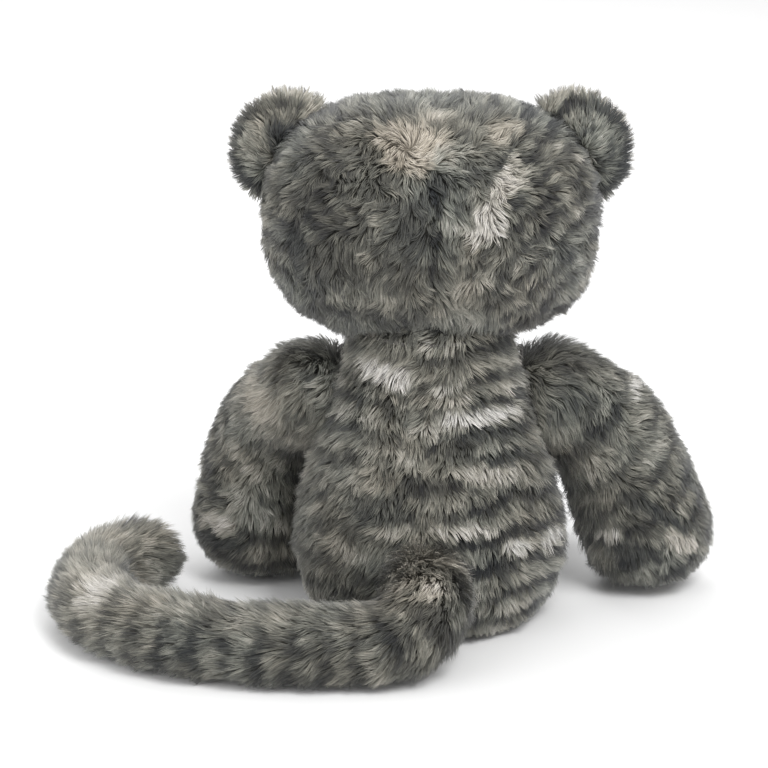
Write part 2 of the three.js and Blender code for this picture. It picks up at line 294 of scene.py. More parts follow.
def skin_material():
    """Backing cloth with the roots of the pile standing in it, seen only where the coat parts, and darkened as
    painted shade deep in the coat.
    """
    shader = Shader("pile_ground", 0.95, Specular_IOR_Level=0.1, Sheen_Weight=0.1)
    roots = shader.noise(900.0, 3.0)
    # Painted shade: the pile's colour is multiplied down to between about a sixth and two fifths, as the shade
    # deep in the coat.
    shade = shader.ramp(roots, [(0.3, (0.16, 0.16, 0.155, 1)), (0.7, (0.42, 0.415, 0.4, 1))])
    painted = shader.painted(shader.mixed(1.0, pile_colour(shader), shade, "MULTIPLY"))
    return painted.bumped(roots, 0.9, 0.6 * MM).material


PILE_MATERIAL = strand_material()
SKIN_MATERIAL = skin_material()

# ---------------------------------------------------------------- skins


def shade_smooth(mesh):
    mesh.polygons.foreach_set("use_smooth", np.ones(len(mesh.polygons), dtype=bool))


def new_object(name, mesh, material):
    piece = bpy.data.objects.new(name, mesh)
    bpy.context.scene.collection.objects.link(piece)
    mesh.materials.clear()
    mesh.materials.append(material)
    shade_smooth(mesh)
    return piece


def points_of(mesh):
    flat = np.empty(len(mesh.vertices) * 3)
    mesh.vertices.foreach_get("co", flat)
    return flat.reshape(-1, 3)


def set_points(mesh, points):
    mesh.vertices.foreach_set("co", points.ravel())
    mesh.update()


def normals_of(mesh):
    flat = np.empty(len(mesh.vertices) * 3)
    mesh.vertex_normals.foreach_get("vector", flat)
    return flat.reshape(-1, 3)


def store(mesh, name, values):
    """Stores one number for each of the mesh's points."""
    stored = mesh.attributes.new(name, "FLOAT", "POINT")
    stored.data.foreach_set("value", values.ravel().astype(np.float32))


def form_of(*nodes):
    """The CAD nodes' own shapes in one bmesh."""
    form = bmesh.new()
    for node in nodes:
        form.from_mesh(NODES[node].data)
    bmesh.ops.remove_doubles(form, verts=form.verts, dist=0.01 * MM)
    return form


def hull(form):
    """The tightest convex form round another, so that its sockets are closed."""
    result = bmesh.ops.convex_hull(form, input=form.verts)
    spare = set(result["geom_interior"]) | set(result["geom_unused"])
    bmesh.ops.delete(form, geom=[g for g in spare if isinstance(g, bmesh.types.BMVert)], context="VERTS")
    kept = {g for g in result["geom"] if isinstance(g, bmesh.types.BMFace)}
    bmesh.ops.delete(form, geom=[f for f in form.faces if f not in kept], context="FACES_ONLY")
    return form


def grown(form, distance):
    """The same form with its surface moved out by a distance."""
    bmesh.ops.recalc_face_normals(form, faces=form.faces)
    form.normal_update()
    for vert, normal in [(v, v.normal.copy()) for v in form.verts]:
        vert.co += distance * normal
    return form


def modified(piece, kind, **settings):
    """Puts a modifier on a piece and applies it."""
    modifier = piece.modifiers.new(kind, kind)
    for key, value in settings.items():
        setattr(modifier, key, value)
    graph = bpy.context.evaluated_depsgraph_get()
    mesh = bpy.data.meshes.new_from_object(piece.evaluated_get(graph))
    piece.modifiers.clear()
    piece.data = mesh


def stuffed(piece):
    """Blows the cloth out by pressure from inside, and caps how far a point moves."""
    start = points_of(piece.data)
    cloth = piece.modifiers.new("Cloth", "CLOTH")
    cloth.settings.use_pressure = True
    cloth.settings.uniform_pressure_force = STUFFING_PRESSURE
    cloth.settings.effector_weights.gravity = 0
    cloth.collision_settings.use_collision = False
    scene = bpy.context.scene
    for step in range(1, STUFFING_FRAMES + 1):
        scene.frame_set(step)
    graph = bpy.context.evaluated_depsgraph_get()
    moved = points_of(piece.evaluated_get(graph).data) - start
    piece.modifiers.clear()
    scene.frame_set(1)
    reach = np.linalg.norm(moved, axis=1, keepdims=True)
    capped = moved * np.minimum(1, SWELL / np.maximum(reach, 1e-9))
    set_points(piece.data, start + capped)


def skin(name, form, body, replaced, voxel=SKIN_VOXEL):
    """A cloth skin from a closed form: remeshed, stuffed, subdivided, and set down on the floor.

    A skin that spans a joint has no body and no replaced nodes here: add_tail hides the nodes it replaces, and
    gives it no body.
    """
    mesh = bpy.data.meshes.new(name)
    form.to_mesh(mesh)
    form.free()
    piece = new_object(name, mesh, SKIN_MATERIAL)
    modified(piece, "REMESH", mode="VOXEL", voxel_size=voxel)
    stuffed(piece)
    modified(piece, "SUBSURF", levels=1)
    points = points_of(piece.data)
    points[:, 2] = np.maximum(points[:, 2], 2 * FLOOR_ROOM)
    set_points(piece.data, points)
    shade_smooth(piece.data)
    if replaced:
        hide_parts(*replaced)
    if body:
        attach(piece, body)
    return piece


# ---------------------------------------------------------------- strands

SPANS = np.array([0.0, 0.5, 1.0])  # where along a strand its points lie
WIDTHS = np.array([0.85, 1.0])  # share of the full width at all of them but the tip
POINTS = 2 * len(WIDTHS) + 1  # in one ribbon


def scattered(mesh, density, rng):
    """Random points on a mesh, evenly by area, and the smooth normals there."""
    mesh.calc_loop_triangles()
    corners = np.empty(len(mesh.loop_triangles) * 3, dtype=np.int64)
    mesh.loop_triangles.foreach_get("vertices", corners)
    corners = corners.reshape(-1, 3)
    a, b, c = (points_of(mesh)[corners[:, k]] for k in range(3))
    areas = np.linalg.norm(np.cross(b - a, c - a), axis=1) / 2
    total = np.cumsum(areas)
    count = int(total[-1] * density)
    chosen = np.minimum(np.searchsorted(total, rng.random(count) * total[-1]), len(areas) - 1)
    u, v = rng.random(count), rng.random(count)
    over = u + v > 1
    u[over], v[over] = 1 - u[over], 1 - v[over]
    shares = np.stack([1 - u - v, u, v], axis=1)
    roots = np.einsum("ij,ijk->ik", shares, np.stack([a, b, c], axis=1)[chosen])
    upright = np.einsum("ij,ijk->ik", shares, normals_of(mesh)[corners[chosen]])
    return roots, unit(upright)


def tuft_leaders(roots, count, rng):
    """For each strand, the strand that its tuft leans towards."""
    leaders = rng.choice(len(roots), max(1, count), replace=False)
    tree = KDTree(len(leaders))
    for index, leader in enumerate(leaders):
        tree.insert(roots[leader], index)
    tree.balance()
    return leaders[[tree.find(root)[1] for root in roots]]


def bent_strands(roots, normals, combed, lengths, lifts, rng):
    """Points along each strand: it leaves the skin at the first lift and lies over to the second."""
    first, last = (np.radians(lift)[:, None] for lift in lifts)
    swerve = turned(combed, normals, rng.normal(0, 0.2, len(roots)))
    leaving = unit(combed * np.cos(first) + normals * np.sin(first))
    lying = unit(swerve * np.cos(last) + normals * np.sin(last))
    half = lengths[:, None] / 2
    middle = roots + half * leaving
    tip = middle + half * lying
    spans = SPANS[:, None, None]
    return (1 - spans) ** 2 * roots + 2 * spans * (1 - spans) * middle + spans**2 * tip


def tufted(strands, leaders, gather):
    """Strands drawn together towards their tuft's leader, more and more towards the tip."""
    shift = (strands[0] - strands[0][leaders]) * (1 - gather)
    drawn = strands[:, leaders] + shift
    pull = (gather * SPANS**1.3)[:, None, None]
    return strands * (1 - pull) + drawn * pull


def ribbons(name, strands, normals, values, rng):
    """A mesh of ribbons, one to a strand, each ending in a point, with its values stored on its points.

    A ribbon is one four-sided face and a three-sided one above it.
    """
    count = strands.shape[1]
    along = unit(strands[-1] - strands[0])
    sideways = unit(np.cross(along, normals))
    sideways = turned(sideways, along, rng.normal(0, 0.5, count))
    width = STRAND_WIDTH * rng.uniform(0.7, 1.15, count)[:, None] / 2
    points = np.empty((count, POINTS, 3))
    for row, share in enumerate(WIDTHS):
        points[:, 2 * row] = strands[row] - sideways * width * share
        points[:, 2 * row + 1] = strands[row] + sideways * width * share
    points[:, -1] = strands[-1]
    points[:, :, 2] = np.maximum(points[:, :, 2], FLOOR_ROOM)

    pattern = np.array([0, 1, 3, 2] + [2, 3, 4])  # the points of its two faces
    corners = (np.arange(count)[:, None] * POINTS + pattern).ravel()
    starts = (np.arange(count)[:, None] * len(pattern) + np.array([0, 4])).ravel()
    mesh = bpy.data.meshes.new(name)
    mesh.vertices.add(count * POINTS)
    mesh.loops.add(len(corners))
    mesh.polygons.add(len(starts))
    mesh.vertices.foreach_set("co", points.ravel())
    mesh.loops.foreach_set("vertex_index", corners)
    mesh.polygons.foreach_set("loop_start", starts)
    mesh.update(calc_edges=True)

    values["along"] = np.broadcast_to(np.repeat(SPANS, 2)[:POINTS], (count, POINTS))
    for key, value in values.items():
        store(mesh, key, value if value.ndim == 2 else np.repeat(value[:, None], POINTS, axis=1))

    leaning = rng.normal(0, 0.35, count)[:, None]
    shading = unit(normals + leaning * sideways + 0.25 * along)
    shading = np.repeat(shading, POINTS, axis=0)
    mesh.normals_split_custom_set_from_vertices(shading)
    stored = mesh.attributes.new("lie", "FLOAT_VECTOR", "POINT")
    stored.data.foreach_set("vector", shading.ravel().astype(np.float32))
    lay_out_for_baking(mesh, count, pattern)
    return mesh


def lay_out_for_baking(mesh, count, pattern):
    """One cell of the square for each strand."""
    columns = math.ceil(math.sqrt(count))
    cell = np.stack([np.arange(count) % columns, np.arange(count) // columns], axis=1)
    across = np.tile([0.2, 0.8], len(SPANS))[:POINTS]
    across[-1] = 0.5
    inside = np.stack([across, 0.15 + 0.7 * np.repeat(SPANS, 2)[:POINTS]], axis=1)
    placed = (cell[:, None, :] + inside[None, pattern, :]) / columns
    layer = mesh.uv_layers.new(name="OFBake")
    layer.uv.foreach_set("vector", placed.ravel().astype(np.float32))


def store_on_skin(piece, coat):
    """The coat's tone and warmth at the skin's own points."""
    tone, warmth = coat["shade"](points_of(piece.data), normals_of(piece.data))
    store(piece.data, "tone", np.clip(tone, 0, 1))
    store(piece.data, "warmth", np.clip(warmth, 0, 1))


def deep_inside(roots, others, depth):
    """Which roots lie further than a depth inside any of the other skins."""
    hidden = np.zeros(len(roots), dtype=bool)
    for other in others:
        points = points_of(other.data)
        low, high = points.min(axis=0) + depth, points.max(axis=0) - depth
        near = np.where(np.all((roots > low) & (roots < high), axis=1))[0]
        tree = BVHTree.FromPolygons(
            [Vector(p) for p in points], [tuple(p.vertices) for p in other.data.polygons]
        )
        for index in near:
            place, normal, _, _ = tree.find_nearest(Vector(roots[index]))
            hidden[index] |= (place - Vector(roots[index])).dot(normal) > depth
    return hidden


def coat_on(name, piece, coat, others, seed):
    """Grows a coat on a skin, except inside the other skins, and returns it as one object."""
    rng = np.random.default_rng(seed)
    store_on_skin(piece, coat)
    density = STRANDS * coat.get("density", 1.0) * 1.0
    roots, normals = scattered(piece.data, density, rng)
    kept = ~deep_inside(roots, others, HIDDEN_DEPTH)
    if "bare" in coat:
        kept &= ~coat["bare"](roots)
    roots, normals = roots[kept], normals[kept]
    order = np.lexsort((roots[:, 0], np.floor(roots[:, 2] / (3 * MM))))  # row by row, from the floor up
    roots, normals = roots[order], normals[order]

    curl = coat.get("curl", 1.0)
    combed = coat["flow"](roots, normals)
    combed = combed - normals * dot(combed, normals)
    swirl = sum(turn * noise(roots, size, seed + 1 + k) for k, (turn, size) in enumerate(WANDER))
    combed = turned(combed, normals, curl * swirl)
    lengths = PILE * coat["length"](roots, normals) * rng.uniform(0.72, 1.12, len(roots))
    ruffle = RUFFLE * curl * noise(roots, RUFFLE_SIZE, seed + 3)
    lifts = [angle + ruffle + rng.normal(0, 6, len(roots)) for angle in coat.get("lifts", LIFTS)]
    strands = bent_strands(roots, normals, combed, lengths, lifts, rng)
    leaders = tuft_leaders(roots, len(roots) // CLUMP, rng)
    strands = tufted(strands, leaders, GATHER)

    tone, warmth = coat["shade"](roots, normals)
    tone = 0.5 * (tone + tone[leaders]) + rng.normal(0, TUFT_TONE, len(roots))[leaders]
    values = {
        "tone": np.clip(tone + rng.normal(0, STRAND_TONE, len(roots)), 0, 1),
        "warmth": np.clip(warmth + rng.normal(0, STRAND_WARMTH, len(roots)), 0, 1),
    }
    return new_object(name, ribbons(name, strands, normals, values, rng), PILE_MATERIAL)


def add_coat(name, piece, body, coat, others, seed):
    fur = coat_on(name, piece, coat, others, seed)
    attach(fur, body)


# ---------------------------------------------------------------- markings


def bands(place, spacing, width, warp):
    """1 in the middle of each dark band and 0 between, for bands a spacing apart."""
    phase = (place + warp) / spacing
    offset = np.abs(phase - np.round(phase)) * spacing
    return 1 - smooth(0.35 * width, width, offset)


def patch(points, centre, half, tilt=0.0):
    """1 in the middle of an oval patch and 0 outside it. The tilt turns it in the XZ plane."""
    offset = points - np.array(centre) * MM
    cos, sin = math.cos(math.radians(tilt)), math.sin(math.radians(tilt))
    across = offset[:, 0] * cos + offset[:, 2] * sin
    upward = offset[:, 2] * cos - offset[:, 0] * sin
    local = np.stack([across, offset[:, 1], upward], axis=1) / (np.array(half) * MM)
    local += 0.35 * np.stack([noise(points, 5 * MM, 90 + k) for k in range(3)], axis=1)
    return 1 - smooth(0.55, 1.25, np.linalg.norm(local, axis=1))


def mottled(points, seed):
    """The coat's uneven grey, and where it is warmer."""
    tone = 0.43 + 0.18 * rough_noise(points, 14 * MM, seed) + 0.17 * noise(points, 4 * MM, seed + 5)
    warmth = 0.25 + 0.4 * rough_noise(points, 19 * MM, seed + 9)
    return tone, warmth


def creases(points, paths, width):
    """1 on any of some paths and 0 further off than a width."""
    nearest = np.full(len(points), 1.0)
    for path in paths:
        path = np.array(path) * MM
        for start, end in zip(path, path[1:]):
            run = end - start
            share = np.clip((points - start) @ run / (run @ run), 0, 1)
            nearest = np.minimum(nearest, np.linalg.norm(points - start - share[:, None] * run, axis=1))
    return 1 - smooth(0.2 * width, width, nearest)


def marked(tone, warmth, points, patches):
    """Adds patches. Each is (centre, half size, tilt, tone, warmth), in millimetres and degrees."""
    for centre, half, tilt, tone_there, warmth_there in patches:
        share = patch(points, centre, half, tilt)
        tone = tone + (tone_there - tone) * share
        warmth = warmth + (warmth_there - warmth) * share
    return tone, warmth


# ---------------------------------------------------------------- parts: flow, length and markings


def away_from(points, place):
    return unit(points - place)


def body_flow(points, normals):
    """Down the body, and a little out from the tail's root."""
    return np.broadcast_to(-UP, points.shape) + 0.25 * away_from(points, PIVOT["tail_root_swing"])


def body_shade(points, normals):
    """Level dark bands, stronger on the cat's right, with a paler one above each."""
    spacing, width = 12.5 * MM, 3.2 * MM
    tone, warmth = mottled(points, 11)
    warp = 7 * MM * noise(points, 30 * MM, 12) + 2.2 * MM * noise(points, 8 * MM, 13)
    lines = bands(points[:, 2], spacing, width, warp)
    strength = 0.1 + 0.24 * smooth(12 * MM, -18 * MM, points[:, 0]) + 0.14 * noise(points, 20 * MM, 14)
    tone = tone - lines * np.clip(strength, 0.0, 0.42)
    tone = tone + 0.1 * bands(points[:, 2] - 5 * MM, spacing, width, warp)
    return marked(tone, warmth, points, BODY_PATCHES)


BODY_PATCHES = [
    ((18, 28, 118), (15, 20, 4.5), 8, 0.95, 0.2),
    ((-6, 34, 112), (6, 20, 3), -20, 0.75, 0.2),
    ((-21, 32, 99), (20, 20, 3.6), 4, 0.98, 0.1),
    ((-24, 34, 92), (22, 20, 2.4), 4, 0.16, 0.1),
    ((-30, 34, 82), (18, 20, 2.4), 6, 0.16, 0.1),
    ((-24, 38, 76), (20, 20, 4), 4, 0.78, 0.4),
    ((-13, 45, 54), (14, 20, 3.2), 3, 0.85, 0.3),
    ((-47, 24, 44), (6, 20, 4), 20, 0.97, 0.1),
    ((-34, 38, 44), (6, 20, 3), 30, 0.9, 0.1),
    ((22, 44, 62), (16, 20, 7), 0, 0.24, 0.2),
]


def head_flow(points, normals):
    """Out of the whorl on the back of the head, and on the face outwards from the nose and the eyes."""
    behind = away_from(points, WHORL) - 0.3 * UP
    before = away_from(points, centre_of("nose") + np.array([0, 0, -4 * MM]))
    for side, _ in SIDES:
        eye = centre_of(f"{side}_eye")
        reach = np.linalg.norm(points - eye, axis=1)
        near = smooth(15 * MM, 8 * MM, reach)[:, None]
        before = before * (1 - near) + away_from(points, eye) * near
    facing = smooth(-10 * MM, -26 * MM, points[:, 1] + 0.3 * (points[:, 2] - HEAD_CENTRE[2]))[:, None]
    return behind * (1 - facing) + before * facing


MUZZLE_ROOM = 0.7 * MM  # from the middle of the nose or mouth back to the skin
MUZZLE_REACH = 19 * MM  # how far round them the skin comes forward
MUZZLE_BLEND = 7 * MM  # over which it passes from the one's distance to the other's


def raise_muzzle(piece):
    """Brings the skin forward to the back of the nose and mouth, which the remesh rounds off."""
    points = points_of(piece.data)
    in_front = points[:, 1] < HEAD_CENTRE[1]
    total, weights, closest = np.zeros(len(points)), np.zeros(len(points)), np.full(len(points), 1.0)
    for target in (centre_of("nose"), centre_of("mouth_stitch")):
        away = np.linalg.norm((points - target)[:, [0, 2]], axis=1)
        gap = np.median(points[in_front & (away < 5 * MM), 1]) - target[1] - MUZZLE_ROOM
        weight = np.exp(-((away / MUZZLE_BLEND) ** 2)) + 1e-6
        total += weight * max(gap, 0)
        weights += weight
        closest = np.minimum(closest, away)
    points[:, 1] -= total / weights * np.exp(-((closest / MUZZLE_REACH) ** 2)) * in_front
    set_points(piece.data, points)


def muzzle_share(points):
    """1 round the nose, and 0 beyond the muzzle."""
    return smooth(24 * MM, 13 * MM, np.linalg.norm(points - centre_of("nose"), axis=1))


def head_length(points, normals):
    """Short on the muzzle and round the eyes, and shorter in the creases."""
    around_eyes = np.ones(len(points))
    for side, _ in SIDES:
        reach = np.linalg.norm(points - centre_of(f"{side}_eye"), axis=1)
        around_eyes = np.minimum(around_eyes, 0.35 + 0.65 * smooth(7 * MM, 16 * MM, reach))
    lengths = np.minimum(1 - 0.68 * muzzle_share(points), around_eyes)
    return lengths * (1 - 0.45 * creases(points, HEAD_CREASES, 3 * MM))


def head_bare(points):
    """No strands grow under the eyes or under the nose."""
    bare = np.zeros(len(points), dtype=bool)
    for side, _ in SIDES:
        bare |= np.linalg.norm(points - centre_of(f"{side}_eye"), axis=1) < 8.5 * MM
    low, high = (np.array(corner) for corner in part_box("nose"))
    inside = (points > low + np.array([0, -9, 1]) * MM) & (points < high + np.array([0, 6, 0]) * MM)
    return bare | np.all(inside, axis=1)


def head_shade(points, normals):
    """Slanting bands on both cheeks, stronger on the cat's right, a mottled nape and a pale muzzle."""
    tone, warmth = mottled(points, 21)
    side = points[:, 0]
    left_of_nape = smooth(-4 * MM, 10 * MM, side) * (points[:, 1] > 12 * MM)
    tone = tone + 0.13 * noise(points, 8 * MM, 27) - 0.05 * left_of_nape
    warp = 5 * MM * noise(points, 26 * MM, 22) + 1.6 * MM * noise(points, 7 * MM, 23)
    lines = bands(points[:, 2] - 0.8 * np.abs(side), 11 * MM, 3.4 * MM, warp)
    right, left = smooth(-12 * MM, -28 * MM, side), smooth(24 * MM, 44 * MM, side)
    strength = 0.05 + 0.27 * right + 0.15 * left + 0.12 * noise(points, 18 * MM, 24)
    tone = tone - lines * np.clip(strength, 0.0, 0.4)
    # Painted shade along the seams, where the pile parts.
    tone = tone - 0.3 * creases(points, HEAD_CREASES, 2.2 * MM)
    muzzle = muzzle_share(points)
    tone = tone + (0.86 - tone) * 0.75 * muzzle
    warmth = warmth + (0.35 - warmth) * muzzle
    return marked(tone, warmth, points, HEAD_PATCHES)


WHORL = np.array([10, 27, 210]) * MM
HEAD_PATCHES = [
    ((10, 28, 209), (13, 20, 9), 0, 0.7, 0.95),
    ((-27, 32, 197), (6, 20, 11), 25, 0.86, 0.45),
    ((-20, 40, 183), (7, 20, 9), 10, 0.88, 0.3),
    ((-26, 16, 213), (9, 14, 6), 0, 0.62, 0.7),
    ((8, 42, 184), (10, 20, 10), 0, 0.2, 0.2),
    ((38, 34, 170), (13, 20, 9), -20, 0.26, 0.4),
    ((30, 30, 196), (12, 20, 6), 15, 0.3, 0.3),
]
# Where the panels are sewn together: down the nape, and across the top of the head. The pile there is shorter and
# painted darker, as shade where it parts.
HEAD_CREASES = [
    [(6, 33, 206), (-2, 41, 190), (0, 43, 170), (1, 38, 150)],
    [(36, 6, 215), (14, 15, 219), (2, 9, 221), (-12, 4, 221)],
]


def ear_coat(side, seed):
    """A coat that lies outwards over the ear, with a dark ring, a pale rim and a cream lining."""
    centre = centre_of(f"{side}_ear_back") + np.array([0, 4 * MM, 0])
    base = PIVOT[f"{side}_ear_fold"]

    def flow(points, normals):
        return away_from(points, centre) + 0.35 * unit(centre - base)

    def length(points, normals):
        return 0.72 + 0.2 * smooth(12 * MM, 20 * MM, np.linalg.norm(points - centre, axis=1))

    def shade(points, normals):
        tone, warmth = mottled(points, seed)
        reach = np.linalg.norm((points - centre)[:, [0, 2]], axis=1) + 1.2 * MM * noise(points, 6 * MM, 33)
        ring = 1 - smooth(1.2 * MM, 3 * MM, np.abs(reach - 16.5 * MM))
        behind = smooth(-0.1, 0.3, normals[:, 1])
        tone = tone - 0.3 * ring * behind
        rim = smooth(18.5 * MM, 21 * MM, reach)
        tone = tone + (0.6 - tone) * 0.8 * rim
        warmth = warmth + (0.5 - warmth) * 0.6 * rim
        inner = (1 - behind) * (1 - rim)
        tone = tone + (0.62 - tone) * inner
        warmth = warmth + (0.75 - warmth) * inner
        return marked(tone, warmth, points, EAR_PATCHES[side])

    return dict(flow=flow, length=length, shade=shade, density=1.5, lifts=(58, 20))


EAR_PATCHES = {
    "left": [((60, 0, 206), (8, 9, 6), 30, 0.06, 0.1), ((52, 0, 214), (8, 9, 5), 30, 0.68, 0.6)],
    "right": [((-60, 0, 195), (5, 9, 8), 10, 0.78, 0.7)],
}


def plain_length(points, normals):
    """Short where the toy sits on it, full elsewhere."""
    under = smooth(-0.3, -0.8, normals[:, 2]) * smooth(12 * MM, 4 * MM, points[:, 2])
    return 1 - 0.7 * under


def limb_coat(pivot, seed, patches, source):
    """A coat that lies away from a source inside the toy, down to the paw, with bands across the limb."""

    def flow(points, normals):
        return away_from(points, source) - 0.3 * UP

    def shade(points, normals):
        tone, warmth = mottled(points, seed)
        reach = np.linalg.norm(points - pivot, axis=1)
        warp = 6 * MM * noise(points, 28 * MM, seed + 1) + 2 * MM * noise(points, 8 * MM, seed + 2)
        lines = bands(reach, 14 * MM, 3.4 * MM, warp)
        strength = 0.12 + 0.18 * smooth(35 * MM, 70 * MM, reach) + 0.12 * noise(points, 22 * MM, seed + 3)
        tone = tone - lines * np.clip(strength, 0.03, 0.36)
        return marked(tone, warmth, points, patches)

    def length(points, normals):
        """Longer against the body and over the shoulder, where the coats meet."""
        inner = smooth(0.3, 0.8, -normals[:, 0] * np.sign(pivot[0]))
        top = smooth(26 * MM, 16 * MM, np.linalg.norm(points - pivot, axis=1))
        return plain_length(points, normals) * (1 + 0.5 * np.maximum(inner, top))

    return dict(flow=flow, length=length, shade=shade)


ARM_PATCHES = {
    "left": [
        ((88, -14, 32), (8, 30, 5), 0, 0.9, 0.4),
        ((88, -14, 24), (14, 30, 4), 0, 0.12, 0.1),
        ((68, -8, 92), (8, 30, 10), 40, 0.62, 0.6),
    ],
    "right": [
        ((-108, -14, 30), (13, 30, 5), 35, 0.84, 0.5),
        ((-98, -8, 44), (18, 30, 3), 35, 0.14, 0.1),
        ((-88, -6, 28), (16, 30, 3.5), 20, 0.16, 0.1),
        ((-84, -2, 98), (4, 30, 8), 10, 0.9, 0.1),
        ((-78, 0, 36), (7, 30, 3), 10, 0.8, 0.2),
    ],
}


def body_length(points, normals):
    """Longer round the neck and on the flanks, where it meets the head's and the arms' coats."""
    neck = smooth(108 * MM, 116 * MM, points[:, 2])
    flank = smooth(0.6, 0.9, np.abs(normals[:, 0])) * smooth(20 * MM, 35 * MM, points[:, 2])
    return plain_length(points, normals) * (1 + 0.4 * np.maximum(neck, flank))


BODY_COAT = dict(flow=body_flow, length=body_length, shade=body_shade)
HEAD_COAT = dict(flow=head_flow, length=head_length, shade=head_shade, bare=head_bare, curl=1.5)

# ---------------------------------------------------------------- tail


def smooth_path(points, count):
    """Points at even steps along a smooth curve through others, its directions there and its length."""
    ends = np.vstack([2 * points[0] - points[1], points, 2 * points[-1] - points[-2]])
    fine = []
    for p0, p1, p2, p3 in zip(ends, ends[1:], ends[2:], ends[3:]):
        for t in np.linspace(0, 1, 24, endpoint=False):
            straight = 2 * p1 + (p2 - p0) * t
            curved = (2 * p0 - 5 * p1 + 4 * p2 - p3) * t**2
            fine.append(0.5 * (straight + curved + (3 * p1 - p0 - 3 * p2 + p3) * t**3))
    fine = np.array(fine + [points[-1]])
    length = np.concatenate([[0], np.cumsum(np.linalg.norm(np.diff(fine, axis=0), axis=1))])
    even = np.linspace(0, length[-1], count)
    placed = np.stack([np.interp(even, length, fine[:, k]) for k in range(3)], axis=1)
    return placed, unit(np.gradient(placed, axis=0)), length[-1]


TAIL_POINTS, TAIL_DIRECTIONS, TAIL_LENGTH = smooth_path(TAIL_PATH, 160)


def tail_share(points):
    """How far along the tail each point is, from 0 at its root to 1 at its tip."""
    tree = KDTree(len(TAIL_POINTS))
    for index, point in enumerate(TAIL_POINTS):
        tree.insert(point, index)
    tree.balance()
    return np.array([tree.find(point)[1] for point in points]) / (len(TAIL_POINTS) - 1)


def tail_flow(points, normals):
    """From the root to the tip, and down the sides from the top."""
    index = np.round(tail_share(points) * (len(TAIL_POINTS) - 1)).astype(int)
    underneath = smooth(0.3, -0.5, dot(normals, UP)[:, 0])[:, None]
    return TAIL_DIRECTIONS[index] - 0.35 * UP * (1 - underneath)


def tail_shade(points, normals):
    """Dark rings that fade towards the tip, and painted light on the top: paler and warmer there, with fainter
    rings.
    """
    tone, warmth = mottled(points, 61)
    share = tail_share(points)
    warp = 2.2 * MM * noise(points, 12 * MM, 62)
    rings = bands(share * TAIL_LENGTH, 12.5 * MM, 3.6 * MM, warp)
    # Painted light: where the skin faces up, the tail is made paler and warmer and its rings fainter, as if lit
    # from above.
    painted_top_light = smooth(0.45, 0.95, normals[:, 2])
    strength = (0.27 + 0.1 * noise(points, 16 * MM, 63)) * smooth(1.0, 0.72, share) * (1 - 0.6 * painted_top_light)
    tone = tone - 0.02 + 0.12 * smooth(0.1, 0.04, share) - rings * np.clip(strength, 0.03, 0.4)
    tone = tone + 0.14 * painted_top_light * (0.4 + 0.6 * smooth(0.5, 0.8, share))
    warmth = warmth + 0.2 * painted_top_light
    return marked(tone, warmth, points, TAIL_PATCHES)


TAIL_PATCHES = [((132, 50, 24), (8, 12, 7), 0, 0.86, 0.3)]
TAIL_COAT = dict(
    flow=tail_flow,
    length=lambda points, normals: 1.5 * plain_length(points, normals),
    shade=tail_shade,
    density=1.25,
    lifts=(60, 20),
    curl=0.6,
)


def tail_form(first, last):
    """The tail's rounded form between two shares of its length, with round ends."""
    low, high = (round(share * (len(TAIL_POINTS) - 1)) for share in (first, last))
    form = bmesh.new()
    around = 20
    rings = []
    for index in range(low, high + 1, 2):
        share = index / (len(TAIL_POINTS) - 1)
        radius = TAIL_RADII[0] + (TAIL_RADII[1] - TAIL_RADII[0]) * share + PROUD - SWELL
        rings.append((TAIL_POINTS[index], TAIL_DIRECTIONS[index], radius))
    start, end = rings[0], rings[-1]
    for step in (1, 2, 3):
        angle = step * math.pi / 8
        for ring, sign, at in ((start, -1, 0), (end, 1, len(rings))):
            point, direction, radius = ring
            moved = point + sign * radius * math.sin(angle) * direction
            rings.insert(at, (moved, direction, radius * math.cos(angle)))
    loops = []
    for point, direction, radius in rings:
        across = unit(np.cross(direction, UP))
        upward = np.cross(across, direction)
        loop = []
        for turn in np.linspace(0, 2 * math.pi, around, endpoint=False):
            outward = across * math.cos(turn) + upward * math.sin(turn)
            loop.append(form.verts.new(point + radius * outward))
        loops.append(loop)
    for one, other in zip(loops, loops[1:]):
        for k in range(around):
            form.faces.new((one[k], one[(k + 1) % around], other[(k + 1) % around], other[k]))
    form.faces.new(loops[0][::-1])
    form.faces.new(loops[-1])
    bmesh.ops.recalc_face_normals(form, faces=form.faces)
    return form


# ---------------------------------------------------------------- build: skins

ON_COVER = PROUD - SWELL  # from a cover's outside to where its skin starts, before it is stuffed
ON_FILLING = COVER + COVER_GAP + PROUD - SWELL  # and from a filling's

head_form = grown(hull(form_of("head_cover")), ON_COVER)
head_skin = skin("head_skin", head_form, "head", ["head_cover"])
raise_muzzle(head_skin)
body_form = grown(hull(form_of("body_cover")), ON_COVER)
body_skin = skin("body_skin", body_form, "body", ["body_cover"])

limb_skins = {}
for side, _ in SIDES:
    for limb in ("arm", "leg"):
        part = f"{side}_{limb}"
        form = grown(form_of(f"{part}_filling"), ON_FILLING)
        limb_skins[part] = skin(f"{part}_skin", form, part, [f"{part}_cover"])

ear_skins = {}
for side, _ in SIDES:
    ear = f"{side}_ear"
    panels = [f"{ear}_back", f"{ear}_lining"]
    form = grown(form_of(*panels), 0.6 * MM)
    ear_skins[ear] = skin(f"{ear}_skin", form, ear, panels, voxel=2.6 * MM)

TAIL_SPLIT = 0.52  # the share of the tail's length at which one skin ends and the next starts
tail_skins = {
    "tail_near": skin("tail_near_skin", tail_form(0, TAIL_SPLIT), None, None),
    "tail_far": skin("tail_far_skin", tail_form(TAIL_SPLIT, 1), None, None),
}

# ---------------------------------------------------------------- build: coats

limbs = list(limb_skins.values())
add_coat("head_pile", head_skin, "head", HEAD_COAT, [body_skin], 100)
add_coat("body_pile", body_skin, "body", BODY_COAT, [head_skin, *limbs], 200)

